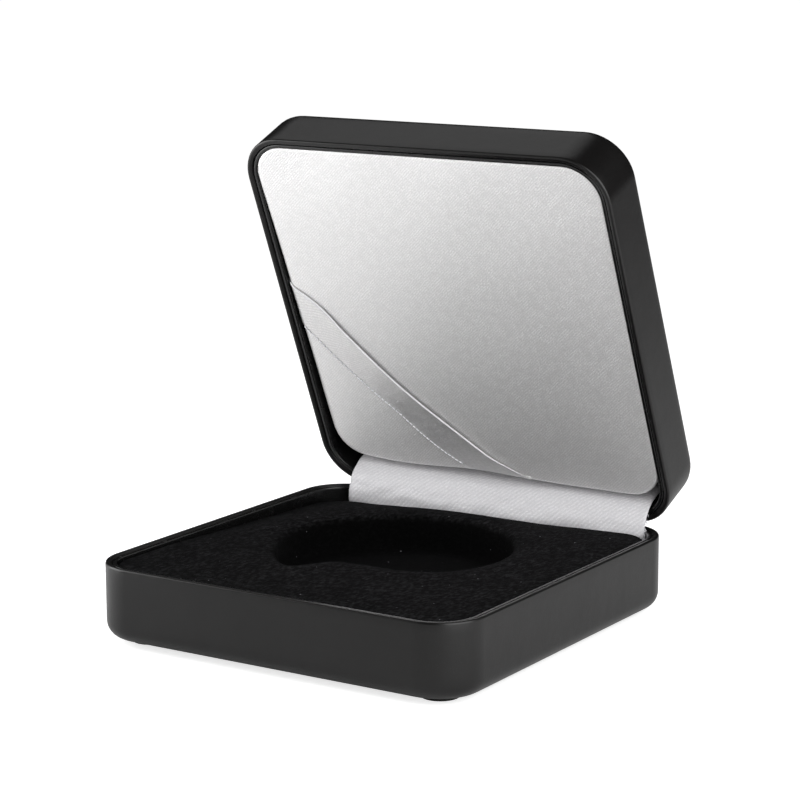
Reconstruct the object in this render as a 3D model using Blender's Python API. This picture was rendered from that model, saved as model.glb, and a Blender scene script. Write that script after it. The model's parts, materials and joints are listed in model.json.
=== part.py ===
# Coin display case: a square, leatherette covered box with a sprung hinge, standing open.
# The two halves are pressed steel trays. The base holds a velvet pad with a coin well, and the lid
# holds a satin pad with a sash. Metres, +Z up, the hinge at the rear.

import math

import bmesh
import bpy
from mathutils import Vector
from mathutils.geometry import interpolate_bezier

MM = 0.001

# The case
CASE_WIDTH = 90 * MM
CASE_DEPTH = 90 * MM
BASE_HEIGHT = 16 * MM
LID_HEIGHT = 13.7 * MM
CORNER_RADIUS = 10.3 * MM
EDGE_RADIUS = 3.5 * MM
RIM_GAP = 0.3 * MM
OPEN_ANGLE = math.radians(67)

# Wall layers, from the outside in
COVER_THICK = 0.5 * MM
SHELL_THICK = 0.6 * MM
LINING_THICK = 0.5 * MM
LAYER_GAP = 0.2 * MM
SEAT_GAP = 0.3 * MM
COVER_RIM_RADIUS = 0.45 * MM
COVER_HEM_RADIUS = 0.2 * MM
LINING_DROP = 0.1 * MM

# Feet
FOOT_RADIUS = 4 * MM
FOOT_HEIGHT = 1.2 * MM
FOOT_INSET = 9.5 * MM

# Card boards and folded card risers
BOARD_THICK = 1.5 * MM
BASE_RISER_HEIGHT = 2.6 * MM
LID_RISER_HEIGHT = 2.9 * MM
RISER_WALL = 1.2 * MM
RISER_INSET = 1.6 * MM

# Coin pad in the base
INSERT_INSET = 2.4 * MM
INSERT_REAR = 4.3 * MM
INSERT_EDGE_DEPTH = 3 * MM
INSERT_EDGE_RADIUS = 1.8 * MM
INSERT_LIP_DEPTH = 0.9 * MM
INSERT_LIP_RADIUS = 2.2 * MM
VELVET_THICK = 0.6 * MM
WELL_RADIUS = 24.4 * MM
WELL_X = -1.5 * MM
WELL_Y = 6.5 * MM
WELL_FLOOR_THICK = 0.8 * MM
THUMB_RADIUS = 10.5 * MM
THUMB_REACH = 21 * MM
THUMB_ANGLE = math.radians(238)

# Satin pad in the lid
PAD_INSET = 3.1 * MM
PAD_REAR = 6.8 * MM
PAD_EDGE_DEPTH = 1.3 * MM
PAD_EDGE_RADIUS = 2 * MM
PAD_CROWN = 0.6 * MM
SATIN_THICK = 0.4 * MM

# Sash across the pad's corner: where its two edges meet the pad's left side and its hinge side
SASH_THICK = 0.3 * MM
SASH_SIDE_FAR = 46.7 * MM
SASH_SIDE_NEAR = 35.2 * MM
SASH_REAR_FAR = 49.9 * MM
SASH_REAR_NEAR = 34.9 * MM
SASH_TAIL = 2.5 * MM

# Hinge
LEAF_MARGIN = 2.7 * MM
KNUCKLE_MARGIN = 1.4 * MM
KNUCKLE_RADIUS = 1.25 * MM
KNUCKLE_BORE = 0.65 * MM
KNUCKLE_CLEARANCE = 0.35 * MM
PIN_RADIUS = 0.5 * MM
PIN_HEAD_RADIUS = 0.95 * MM
PIN_HEAD_LENGTH = 0.5 * MM
LEAF_END_GAP = 0.35 * MM
LEAF_THICK = 0.5 * MM
LEAF_STEP = 2.2 * MM
ARM_RISE = 0.65 * MM
KNUCKLES = 5

# Snap springs and rivets
SPRING_WIDTH = 8 * MM
SPRING_THICK = 0.35 * MM
SPRING_INSET = 1.3 * MM
SPRING_TIP = 0.35 * MM
SPRING_BEND_LOW = 1.9 * MM
SPRING_BEND_HIGH = 1 * MM
RIVET_INSET = 4 * MM
RIVET_RADIUS = 0.7 * MM
RIVET_HOLE = 1 * MM
RIVET_HEAD_RADIUS = 1.4 * MM
RIVET_HEAD_THICK = 0.4 * MM

# Satin strip over the hinge
STRIP_OFFSET = 1 * MM
STRIP_THICK = 0.4 * MM
STRIP_BASE_END = 12 * MM
STRIP_BASE_BEND = 4 * MM
STRIP_LID_BEND = 3.2 * MM
STRIP_LID_END = 8 * MM
STRIP_SLACK = 4 * MM
STRIP_BULGE = 1 * MM

CUT_OVERRUN = 1 * MM

# Where the rings of the soft faces lie, from a face's edge inward, and the folds of the sash
CROWN_SHARES = (0.3, 0.65)
PAD_SHARES = (0.12, 0.3, 0.55, 0.85)
SASH_SHARES = (0, 0.01, 0.03, 0.06, 0.2, 0.35, 0.5, 0.65, 0.8, 0.94, 0.97, 0.99, 1)

# Counts of facets
CORNER_STEPS = 7
FILLET_STEPS = 4
ROUND_STEPS = 24
SIDE_STEPS = 5

# Insets and depths that follow from the sizes above
SHELL_INSET = COVER_THICK + LAYER_GAP
SHELL_INNER = SHELL_INSET + SHELL_THICK
LINING_INSET = SHELL_INNER + LAYER_GAP
LINING_INNER = LINING_INSET + LINING_THICK
LEAF_INNER = LINING_INSET + LEAF_THICK
BASE_LEAF_LENGTH = RIM_GAP / 2 + BASE_HEIGHT - EDGE_RADIUS - LEAF_END_GAP
LID_LEAF_LENGTH = RIM_GAP / 2 + LID_HEIGHT - EDGE_RADIUS - LEAF_END_GAP
BASE_FLOOR = BASE_HEIGHT - SHELL_INNER
BASE_BOARD = BASE_FLOOR - SEAT_GAP - BASE_RISER_HEIGHT - SEAT_GAP
INSERT_BOTTOM = BASE_BOARD - BOARD_THICK - SEAT_GAP
LID_CEILING = LID_HEIGHT - SHELL_INNER
LID_BOARD = LID_CEILING - SEAT_GAP - LID_RISER_HEIGHT - SEAT_GAP
LID_FOAM_BACK = LID_BOARD - BOARD_THICK - SEAT_GAP
LEAF_WIDTH = CASE_WIDTH - 2 * (CORNER_RADIUS + LEAF_MARGIN)
BARREL_LENGTH = LEAF_WIDTH - 2 * KNUCKLE_MARGIN
KNUCKLE_LENGTH = (BARREL_LENGTH - (KNUCKLES - 1) * SEAT_GAP) / KNUCKLES
NOTCH_LENGTH = BARREL_LENGTH + 2 * (2 * SEAT_GAP + PIN_HEAD_LENGTH)
LID_REACH = (EDGE_RADIUS * (1 - math.cos(OPEN_ANGLE))
             + (RIM_GAP / 2 + LID_HEIGHT - EDGE_RADIUS) * math.sin(OPEN_ANGLE))
BASE_Y = -LID_REACH / 2
HINGE_Y = BASE_Y + CASE_DEPTH / 2
HINGE_Z = FOOT_HEIGHT + BASE_HEIGHT + RIM_GAP / 2


def clear_scene():
    for item in list(bpy.data.objects):
        bpy.data.objects.remove(item, do_unlink=True)


def material(name, colour, roughness, metallic=0.0):
    mat = bpy.data.materials.new(name)
    mat.use_nodes = True
    shader = mat.node_tree.nodes["Principled BSDF"]
    shader.inputs["Base Color"].default_value = (*colour, 1)
    shader.inputs["Roughness"].default_value = roughness
    shader.inputs["Metallic"].default_value = metallic
    return mat


def empty(name, location, angle=0.0):
    frame = bpy.data.objects.new(name, None)
    bpy.context.collection.objects.link(frame)
    frame.location = location
    frame.rotation_euler = (-angle, 0, 0)
    return frame


def add_object(name, bm, mat, parent):
    bmesh.ops.recalc_face_normals(bm, faces=bm.faces)
    mesh = bpy.data.meshes.new(name)
    bm.to_mesh(mesh)
    bm.free()
    mesh.shade_smooth()
    mesh.set_sharp_from_angle(angle=math.radians(35))
    if mat:
        mesh.materials.append(mat)
    item = bpy.data.objects.new(name, mesh)
    bpy.context.collection.objects.link(item)
    item.parent = parent
    return item


def add_loft(bm, rings, closed=False):
    # skins rings of equally many points, and caps both ends unless the rings close on themselves
    rows = [[bm.verts.new(point) for point in ring] for ring in rings]
    following = rows[1:] + rows[:1] if closed else rows[1:]
    for row, after in zip(rows, following):
        for i in range(len(row)):
            j = (i + 1) % len(row)
            bm.faces.new((row[i], row[j], after[j], after[i]))
    if not closed:
        bm.faces.new(rows[0])
        bm.faces.new(rows[-1])


def loft(name, rings, mat, parent, closed=False):
    bm = bmesh.new()
    add_loft(bm, rings, closed)
    return add_object(name, bm, mat, parent)


def cutter(name, rings, parent):
    tool = loft(name, rings, None, parent)
    tool.hide_render = True
    tool.display_type = "WIRE"
    return tool


def boolean(item, tool, operation="DIFFERENCE"):
    modifier = item.modifiers.new(tool.name, "BOOLEAN")
    modifier.operation = operation
    modifier.object = tool


def base_place(x, y, depth):
    # y from the tray's centre, depth down from the rim
    return Vector((x, y, FOOT_HEIGHT + BASE_HEIGHT - depth))


def lid_place(x, y, depth):
    # the lid's parts are drawn shut, from the hinge axis, depth up from its rim
    return Vector((x, y - CASE_DEPTH / 2, RIM_GAP / 2 + depth))


def outline(width, length, radius, centre_y=0.0, side_steps=1):
    # rounded rectangle, from the middle of the right side round by the rear
    points = []
    corners = ((1, 1, 0), (-1, 1, 90), (-1, -1, 180), (1, -1, 270))
    for side_x, side_y, start in corners:
        x = side_x * (width / 2 - radius)
        y = centre_y + side_y * (length / 2 - radius)
        for k in range(CORNER_STEPS + 1):
            angle = math.radians(start + 90 * k / CORNER_STEPS)
            points.append(Vector((x + radius * math.cos(angle), y + radius * math.sin(angle))))
    if side_steps == 1:
        return points
    split = []
    for i, point in enumerate(points):
        split.append(point)
        if i % (CORNER_STEPS + 1) == CORNER_STEPS:
            after = points[(i + 1) % len(points)]
            split += [point.lerp(after, k / side_steps) for k in range(1, side_steps)]
    return split


def arc(inset, depth, radius, start, end, steps=FILLET_STEPS):
    # points of a fillet as (inset, depth)
    angles = [math.radians(start + (end - start) * k / steps) for k in range(steps + 1)]
    return [(inset + radius * math.cos(a), depth + radius * math.sin(a)) for a in angles]


def case_rings(path, place):
    rings = []
    for inset, depth in path:
        points = outline(CASE_WIDTH - 2 * inset, CASE_DEPTH - 2 * inset, CORNER_RADIUS - inset)
        rings.append([place(p.x, p.y, depth) for p in points])
    return rings


def circle(radius, steps=ROUND_STEPS):
    angles = [2 * math.pi * (k + 0.5) / steps for k in range(steps)]
    return [(radius * math.cos(a), radius * math.sin(a)) for a in angles]


def box_rings(low, high):
    # a box along x, given by two corners
    return [[Vector((x, y, z)) for y, z in
             ((low[1], low[2]), (high[1], low[2]), (high[1], high[2]), (low[1], high[2]))]
            for x in (low[0], high[0])]


def bar_rings(half_length, radius, centre=(0, 0, 0)):
    # a round bar along x
    return [[Vector((centre[0] + x, centre[1] + y, centre[2] + z)) for y, z in circle(radius)]
            for x in (-half_length, half_length)]


def cover(name, height, place, mat, parent):
    # leatherette outside, turned over the shell's rim
    floor = height - EDGE_RADIUS
    path = arc(EDGE_RADIUS, floor, EDGE_RADIUS, 90, 180)
    path += arc(COVER_RIM_RADIUS, COVER_RIM_RADIUS, COVER_RIM_RADIUS, 180, 270, 3)
    path += arc(SHELL_INNER - COVER_HEM_RADIUS, COVER_HEM_RADIUS, COVER_HEM_RADIUS, 270, 360, 2)
    path += [(SHELL_INNER, COVER_THICK), (COVER_THICK, COVER_THICK)]
    path += arc(EDGE_RADIUS, floor, EDGE_RADIUS - COVER_THICK, 180, 90)
    return loft(name, case_rings(path, place), mat, parent)


def shell(name, height, place, mat, parent):
    floor = height - EDGE_RADIUS
    path = arc(EDGE_RADIUS, floor, EDGE_RADIUS - SHELL_INSET, 90, 180)
    path += [(SHELL_INSET, SHELL_INSET), (SHELL_INNER, SHELL_INSET)]
    path += arc(EDGE_RADIUS, floor, EDGE_RADIUS - SHELL_INNER, 180, 90)
    return loft(name, case_rings(path, place), mat, parent)


def lining(name, height, place, mat, parent):
    # a band inside the walls, open behind the hinge leaf
    round_radius = LINING_THICK / 2
    path = [(LINING_INSET, height - EDGE_RADIUS)]
    path += arc(LINING_INSET + round_radius, LINING_DROP + round_radius, round_radius, 180, 360, 4)
    path += [(LINING_INNER, height - EDGE_RADIUS)]
    band = loft(name, case_rings(path, place), mat, parent, closed=True)
    half = LEAF_WIDTH / 2 + SEAT_GAP
    low = place(-half, CASE_DEPTH / 2 - LINING_INNER - CUT_OVERRUN, -CUT_OVERRUN)
    high = place(half, CASE_DEPTH / 2, height)
    boolean(band, cutter(name + "_window", box_rings(low, high), parent))
    return band


def hinge_notch(items, name, low_z, high_z, centre_y, parent):
    # room for the hinge barrel in the rear rim
    half = NOTCH_LENGTH / 2
    low = (-half, centre_y - LINING_INSET, low_z)
    high = (half, centre_y + CUT_OVERRUN, high_z)
    tool = cutter(name, box_rings(low, high), parent)
    for item in items:
        boolean(item, tool)


def foot(name, x, y, mat, parent):
    heights = (0, FOOT_HEIGHT - LAYER_GAP)
    rings = [[Vector((x + px, y + py, z)) for px, py in circle(FOOT_RADIUS)] for z in heights]
    return loft(name, rings, mat, parent)


def insert_outline(shrink, side_steps=1):
    width = CASE_WIDTH - 2 * (INSERT_INSET + shrink)
    length = CASE_DEPTH - INSERT_INSET - INSERT_REAR - 2 * shrink
    centre_y = (INSERT_INSET - INSERT_REAR) / 2
    return outline(width, length, CORNER_RADIUS - INSERT_INSET - shrink, centre_y, side_steps)


def pad_outline(shrink):
    width = CASE_WIDTH - 2 * (PAD_INSET + shrink)
    length = CASE_DEPTH - PAD_INSET - PAD_REAR - 2 * shrink
    return outline(width, length, max(CORNER_RADIUS - PAD_INSET - shrink, LAYER_GAP),
                   (PAD_INSET - PAD_REAR) / 2)


def well_point(angle, grow):
    # a round well with one thumb notch
    radius = WELL_RADIUS + grow
    along = THUMB_REACH * math.cos(angle - THUMB_ANGLE)
    across = THUMB_REACH * math.sin(angle - THUMB_ANGLE)
    if along > 0 and abs(across) < THUMB_RADIUS + grow:
        radius = max(radius, along + math.sqrt((THUMB_RADIUS + grow) ** 2 - across ** 2))
    return Vector((WELL_X + radius * math.cos(angle), WELL_Y + radius * math.sin(angle)))


def well_outline(grow):
    # as many points as the pad's outline, evenly spread, a quarter turn for each of its corners
    count = len(insert_outline(0, SIDE_STEPS))
    start = math.pi / 4 - math.pi * CORNER_STEPS / count
    return [well_point(start + 2 * math.pi * k / count, grow) for k in range(count)]


def insert_rings(shrink):
    # from the pad's outer bottom edge up, over the crown and down into the well
    edge = INSERT_EDGE_DEPTH + shrink
    lip = INSERT_LIP_DEPTH + shrink
    rings = [(insert_outline(shrink, SIDE_STEPS), INSERT_BOTTOM)]
    for inset, depth in arc(INSERT_EDGE_RADIUS, edge + INSERT_EDGE_RADIUS, INSERT_EDGE_RADIUS,
                            180, 270, 3):
        rings.append((insert_outline(shrink + inset, SIDE_STEPS), depth))
    brow = well_outline(shrink + INSERT_LIP_RADIUS)
    for share in CROWN_SHARES:
        points = [a.lerp(b, share) for a, b in zip(rings[4][0], brow)]
        rings.append((points, edge + (lip - edge) * (1 - (1 - share) ** 2)))
    for inset, depth in arc(0, lip + INSERT_LIP_RADIUS, INSERT_LIP_RADIUS, 270, 360, 3):
        rings.append((well_outline(shrink + INSERT_LIP_RADIUS - inset), depth))
    rings.append((well_outline(shrink), INSERT_BOTTOM))
    return [[base_place(p.x, p.y, depth) for p in points] for points, depth in rings]


def insert_velvet(mat, parent):
    rings = insert_rings(0) + insert_rings(VELVET_THICK)[::-1]
    return loft("insert_velvet", rings, mat, parent, closed=True)


def insert_foam(mat, parent):
    return loft("insert_foam", insert_rings(VELVET_THICK + SEAT_GAP), mat, parent, closed=True)


def well_floor(mat, parent):
    points = well_outline(-SEAT_GAP)
    depths = (INSERT_BOTTOM - WELL_FLOOR_THICK, INSERT_BOTTOM)
    rings = [[base_place(p.x, p.y, depth) for p in points] for depth in depths]
    return loft("well_floor", rings, mat, parent)


def plate(name, points, depths, place, mat, parent):
    return loft(name, [[place(p.x, p.y, depth) for p in points] for depth in depths], mat, parent)


def frame(name, outer, inner, depths, place, mat, parent):
    rings = [(outer, depths[0]), (outer, depths[1]), (inner, depths[1]), (inner, depths[0])]
    return loft(name, [[place(p.x, p.y, depth) for p in points] for points, depth in rings],
                mat, parent, closed=True)


def pad_half():
    return (CASE_DEPTH - PAD_INSET - PAD_REAR) / 2


def pad_depth(inset, shrink):
    # depth of the crowned face, or of a face parallel to it, at an inset from its own outline
    radius = PAD_EDGE_RADIUS - shrink
    edge = PAD_EDGE_DEPTH + shrink
    if inset < radius:
        return edge + radius - math.sqrt(radius ** 2 - (radius - max(0, inset)) ** 2)
    share = min(1, (inset - radius) / (pad_half() - shrink - radius))
    return edge - PAD_CROWN * (1 - (1 - share) ** 2)


def pad_rings(shrink, back):
    radius = PAD_EDGE_RADIUS - shrink
    insets = [0] + [radius * (1 - math.cos(math.radians(angle))) for angle in (0, 30, 60, 90)]
    insets += [radius + (pad_half() - shrink - radius) * share for share in PAD_SHARES]
    depths = [back] + [pad_depth(inset, shrink) for inset in insets[1:]]
    return [[lid_place(p.x, p.y, depth) for p in pad_outline(shrink + inset)]
            for inset, depth in zip(insets, depths)]


def lid_satin(mat, parent):
    rings = pad_rings(0, LID_BOARD)[::-1] + pad_rings(SATIN_THICK, LID_BOARD)
    return loft("lid_satin", rings, mat, parent)


def lid_foam(mat, parent):
    return loft("lid_foam", pad_rings(SATIN_THICK + SEAT_GAP, LID_FOAM_BACK), mat, parent)


def sash_edge(side, rear, grow):
    # one edge of the sash, from behind the pad's left side to behind its hinge side
    left = -(CASE_WIDTH / 2 - PAD_INSET) - grow
    back = CASE_DEPTH / 2 - PAD_REAR + grow
    start = Vector((left, back - side))
    end = Vector((left + rear, back))
    tail = pad_depth(0, -grow) + SASH_TAIL
    points = [lid_place(start.x, start.y, tail)]
    for share in SASH_SHARES:
        p = start.lerp(end, share)
        inset = min(p.x - left, back - p.y)
        points.append(lid_place(p.x, p.y, pad_depth(inset, -grow)))
    return points + [lid_place(end.x, end.y, tail)]


def lid_sash(mat, parent):
    inner, outer = SEAT_GAP, SEAT_GAP + SASH_THICK
    edges = [sash_edge(SASH_SIDE_FAR, SASH_REAR_FAR, inner),
             sash_edge(SASH_SIDE_NEAR, SASH_REAR_NEAR, inner),
             sash_edge(SASH_SIDE_NEAR, SASH_REAR_NEAR, outer),
             sash_edge(SASH_SIDE_FAR, SASH_REAR_FAR, outer)]
    return loft("lid_sash", list(zip(*edges)), mat, parent)


def knuckle_outline(flats):
    # leaf tab and barrel in the hinge's (y, z), for a leaf above the axis; flats are a cam's two
    # faces, given by their directions
    radius = KNUCKLE_RADIUS
    under = math.pi - math.asin(ARM_RISE / radius)
    over = math.pi - math.asin((ARM_RISE + LEAF_THICK) / radius)
    angles = [under + (over + 2 * math.pi - under) * k / ROUND_STEPS for k in range(ROUND_STEPS + 1)]
    if flats:
        angles = sorted(angles + [sum(flats) / 2])
    points = []
    for angle in angles:
        reach = radius
        if flats and flats[0] < angle < flats[1]:
            nearest = min(flats, key=lambda flat: abs(angle - flat))
            reach = radius / math.cos(angle - nearest)
        points.append((reach * math.cos(angle), reach * math.sin(angle)))
    foot_z = LEAF_STEP + LEAF_THICK
    points += [(-LINING_INSET, ARM_RISE + LEAF_THICK), (-LINING_INSET, foot_z)]
    points += [(-LEAF_INNER, foot_z), (-LEAF_INNER, ARM_RISE)]
    return points


def knuckle_centres(first):
    pitch = KNUCKLE_LENGTH + SEAT_GAP
    return [(k - (KNUCKLES - 1) / 2) * pitch for k in range(first, KNUCKLES, 2)]


def leaf(name, side, length, first, flats, mat, parent):
    # side 1 is the lid's leaf, above the axis, and -1 the base's, below it
    heights = sorted((side * LEAF_STEP, side * length))
    low = (-LEAF_WIDTH / 2, -LEAF_INNER, heights[0])
    high = (LEAF_WIDTH / 2, -LINING_INSET, heights[1])
    item = loft(name, box_rings(low, high), mat, parent)
    points = knuckle_outline(flats)
    for k, centre in enumerate(knuckle_centres(first)):
        rings = [[Vector((centre + x, y, side * z)) for y, z in points]
                 for x in (-KNUCKLE_LENGTH / 2, KNUCKLE_LENGTH / 2)]
        boolean(item, cutter(f"{name}_tab_{k}", rings, parent), "UNION")
    bore = bar_rings(BARREL_LENGTH / 2 + CUT_OVERRUN, KNUCKLE_BORE)
    boolean(item, cutter(name + "_bore", bore, parent))
    return item


def hinge_pin(mat, parent):
    half = BARREL_LENGTH / 2 + SEAT_GAP
    profile = [(half + PIN_HEAD_LENGTH, PIN_HEAD_RADIUS), (half, PIN_HEAD_RADIUS),
               (half, PIN_RADIUS)]
    profile = [(-x, r) for x, r in profile] + profile[::-1]
    return loft("hinge_pin", [[Vector((x, y, z)) for y, z in circle(r)] for x, r in profile],
                mat, parent)


def snap_spring(name, x, mat, parent):
    # a flat strip on the base leaf, its tip before a flat of the lid's knuckle
    back = LEAF_INNER + SEAT_GAP
    tip = KNUCKLE_RADIUS + SEAT_GAP
    foot_z = SPRING_INSET - BASE_LEAF_LENGTH
    line = [(back, foot_z), (back, -SPRING_BEND_LOW), (tip, -SPRING_BEND_HIGH),
            (tip, SPRING_TIP)]
    half = SPRING_WIDTH / 2
    rings = [[Vector((x - half, -y, z)), Vector((x + half, -y, z)),
              Vector((x + half, -y - SPRING_THICK, z)), Vector((x - half, -y - SPRING_THICK, z))]
             for y, z in line]
    return loft(name, rings, mat, parent)


def rivet_places():
    # the outer rivets pass the leaf alone, the inner two pass a snap spring too
    outer = [(x, LEAF_INNER) for x in (knuckle_centres(0)[0], knuckle_centres(0)[-1])]
    inner = [(x, LEAF_INNER + SEAT_GAP + SPRING_THICK) for x in knuckle_centres(1)]
    return outer + inner


def rivet(name, x, face, z, items, mat, parent):
    # a head inside the leaf and a shank that ends at the shell's outer face
    head = face + LAYER_GAP
    profile = [(head + RIVET_HEAD_THICK, RIVET_HEAD_RADIUS), (head, RIVET_HEAD_RADIUS),
               (head, RIVET_RADIUS), (SHELL_INSET, RIVET_RADIUS)]
    rings = [[Vector((x + px, -y, z + pz)) for px, pz in circle(r, 16)] for y, r in profile]
    hole = [[Vector((x + px, y, z + pz)) for px, pz in circle(RIVET_HOLE, 16)]
            for y in (-face - CUT_OVERRUN, 0)]
    tool = cutter(name + "_hole", hole, parent)
    for item in items:
        boolean(item, tool)
    return loft(name, rings, mat, parent)


def rivets(prefix, z, faces, items, mat, parent):
    # from left to right, through the leaf and the shell
    outer = knuckle_centres(0)
    inner = knuckle_centres(1)
    places = (outer[0], inner[0], inner[-1], outer[-1])
    for k, (x, face) in enumerate(zip(places, faces)):
        rivet(f"{prefix}_rivet_{k + 1}", x, face, z, items, mat, parent)


def hinge_cover(mat, parent):
    # a satin strip from behind the insert, past the barrel, to behind the lid's pad
    base_y = -(INSERT_REAR - SEAT_GAP - STRIP_THICK / 2)
    corner = CORNER_RADIUS - LINING_INNER
    off_centre = corner + LINING_INNER + base_y + STRIP_THICK / 2
    corner_reach = corner - math.sqrt(corner ** 2 - off_centre ** 2)
    half_width = CASE_WIDTH / 2 - LINING_INNER - corner_reach - SEAT_GAP - STRIP_OFFSET
    lid_y = -(PAD_REAR - SEAT_GAP - SASH_THICK - SEAT_GAP - STRIP_THICK / 2)
    cos, sin = math.cos(OPEN_ANGLE), math.sin(OPEN_ANGLE)

    def on_lid(z):
        return Vector((0, lid_y * cos + z * sin, z * cos - lid_y * sin))

    start = Vector((0, base_y, -STRIP_BASE_BEND))
    end = on_lid(STRIP_LID_BEND)
    bulge = Vector((0, base_y - STRIP_BULGE, STRIP_SLACK - STRIP_BASE_BEND))
    line = interpolate_bezier(start, bulge, on_lid(STRIP_LID_BEND - STRIP_SLACK), end, 12)
    line = [Vector((0, base_y, -STRIP_BASE_END))] + line + [on_lid(STRIP_LID_END)]
    rings = []
    for k, point in enumerate(line):
        run = line[min(k + 1, len(line) - 1)] - line[max(k - 1, 0)]
        side = Vector((0, -run.z, run.y)).normalized() * STRIP_THICK / 2
        point.x = STRIP_OFFSET
        half = Vector((half_width, 0, 0))
        rings.append([point - half + side, point + half + side, point + half - side,
                      point - half - side])
    return loft("hinge_cover", rings, mat, parent)


def base_tray(frame_empty, hinge):
    leather = material("leatherette_base", (0.027, 0.025, 0.025), 0.42)
    steel = material("tray_steel_base", (0.35, 0.36, 0.37), 0.4, 1.0)
    gloss = material("lining_base", (0.008, 0.008, 0.008), 0.25)
    skin = cover("base_cover", BASE_HEIGHT, base_place, leather, frame_empty)
    tray = shell("base_shell", BASE_HEIGHT, base_place, steel, frame_empty)
    lining("base_lining", BASE_HEIGHT, base_place, gloss, frame_empty)
    hinge_notch((skin, tray), "base_notch", -(KNUCKLE_RADIUS + KNUCKLE_CLEARANCE), CUT_OVERRUN, 0, hinge)
    rubber = material("foot_rubber", (0.006, 0.006, 0.006), 0.6)
    reach_x, reach_y = CASE_WIDTH / 2 - FOOT_INSET, CASE_DEPTH / 2 - FOOT_INSET
    for end, y in (("front", -reach_y), ("rear", reach_y)):
        for side, x in (("left", -reach_x), ("right", reach_x)):
            foot(f"foot_{end}_{side}", x, y, rubber, frame_empty)
    return tray


def base_insert(frame_empty):
    card = material("insert_card", (0.27, 0.25, 0.21), 0.85)
    inner = insert_outline(RISER_INSET + RISER_WALL)
    depths = (BASE_FLOOR - SEAT_GAP, BASE_FLOOR - SEAT_GAP - BASE_RISER_HEIGHT)
    frame("insert_riser", insert_outline(RISER_INSET), inner, depths, base_place, card, frame_empty)
    depths = (BASE_BOARD, BASE_BOARD - BOARD_THICK)
    plate("insert_board", insert_outline(0), depths, base_place, card, frame_empty)
    velvet = material("insert_flock", (0.004, 0.004, 0.005), 0.95)
    insert_foam(material("insert_sponge", (0.05, 0.05, 0.05), 0.9), frame_empty)
    insert_velvet(velvet, frame_empty)
    well_floor(velvet, frame_empty)


def lid_tray(hinge):
    leather = material("leatherette_lid", (0.027, 0.025, 0.025), 0.42)
    steel = material("tray_steel_lid", (0.35, 0.36, 0.37), 0.4, 1.0)
    gloss = material("lining_lid", (0.008, 0.008, 0.008), 0.25)
    skin = cover("lid_cover", LID_HEIGHT, lid_place, leather, hinge)
    tray = shell("lid_shell", LID_HEIGHT, lid_place, steel, hinge)
    lining("lid_lining", LID_HEIGHT, lid_place, gloss, hinge)
    hinge_notch((skin, tray), "lid_notch", -CUT_OVERRUN, KNUCKLE_RADIUS + KNUCKLE_CLEARANCE, 0, hinge)
    return tray


def lid_pad(hinge):
    card = material("pad_card", (0.27, 0.25, 0.21), 0.85)
    inner = pad_outline(RISER_INSET + RISER_WALL)
    depths = (LID_CEILING - SEAT_GAP, LID_CEILING - SEAT_GAP - LID_RISER_HEIGHT)
    frame("lid_riser", pad_outline(RISER_INSET), inner, depths, lid_place, card, hinge)
    depths = (LID_BOARD, LID_BOARD - BOARD_THICK)
    plate("lid_board", pad_outline(SATIN_THICK + SEAT_GAP), depths, lid_place, card, hinge)
    satin = material("pad_satin", (0.62, 0.63, 0.65), 0.45)
    lid_foam(material("pad_sponge", (0.8, 0.8, 0.77), 0.9), hinge)
    lid_satin(satin, hinge)
    lid_sash(satin, hinge)


def hinge_parts(base_hinge, lid_hinge, base_shell_item, lid_shell_item):
    plated = material("hinge_steel", (0.5, 0.5, 0.51), 0.3, 1.0)
    sprung = material("spring_steel", (0.25, 0.26, 0.29), 0.35, 1.0)
    brass = material("rivet_brass", (0.6, 0.43, 0.18), 0.35, 1.0)
    satin = material("strip_satin", (0.62, 0.63, 0.65), 0.45)
    shut_flat = math.pi
    open_flat = math.pi + OPEN_ANGLE
    base_leaf = leaf("base_leaf", -1, BASE_LEAF_LENGTH, 0, None, plated, base_hinge)
    lid_leaf = leaf("lid_leaf", 1, LID_LEAF_LENGTH, 1, (shut_flat, open_flat), plated, lid_hinge)
    hinge_pin(plated, base_hinge)
    springs = [snap_spring(f"snap_spring_{side}", x, sprung, base_hinge)
               for side, x in zip(("left", "right"), knuckle_centres(1))]
    over_spring = LEAF_INNER + SEAT_GAP + SPRING_THICK
    rivets("base", RIVET_INSET - BASE_LEAF_LENGTH,
           (LEAF_INNER, over_spring, over_spring, LEAF_INNER),
           [base_leaf, base_shell_item] + springs, brass, base_hinge)
    rivets("lid", LID_LEAF_LENGTH - RIVET_INSET, [LEAF_INNER] * 4, [lid_leaf, lid_shell_item],
           brass, lid_hinge)
    hinge_cover(satin, base_hinge)


def main():
    clear_scene()
    base_frame = empty("base_frame", (0, BASE_Y, 0))
    base_hinge = empty("base_hinge", (0, HINGE_Y, HINGE_Z))
    lid_hinge = empty("lid_hinge", (0, HINGE_Y, HINGE_Z), OPEN_ANGLE)
    base_shell_item = base_tray(base_frame, base_hinge)
    base_insert(base_frame)
    lid_shell_item = lid_tray(lid_hinge)
    lid_pad(lid_hinge)
    hinge_parts(base_hinge, lid_hinge, base_shell_item, lid_shell_item)


main()
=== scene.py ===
import bpy
import bmesh
import json
import math
import random
from mathutils import Matrix, Vector, noise


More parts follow.
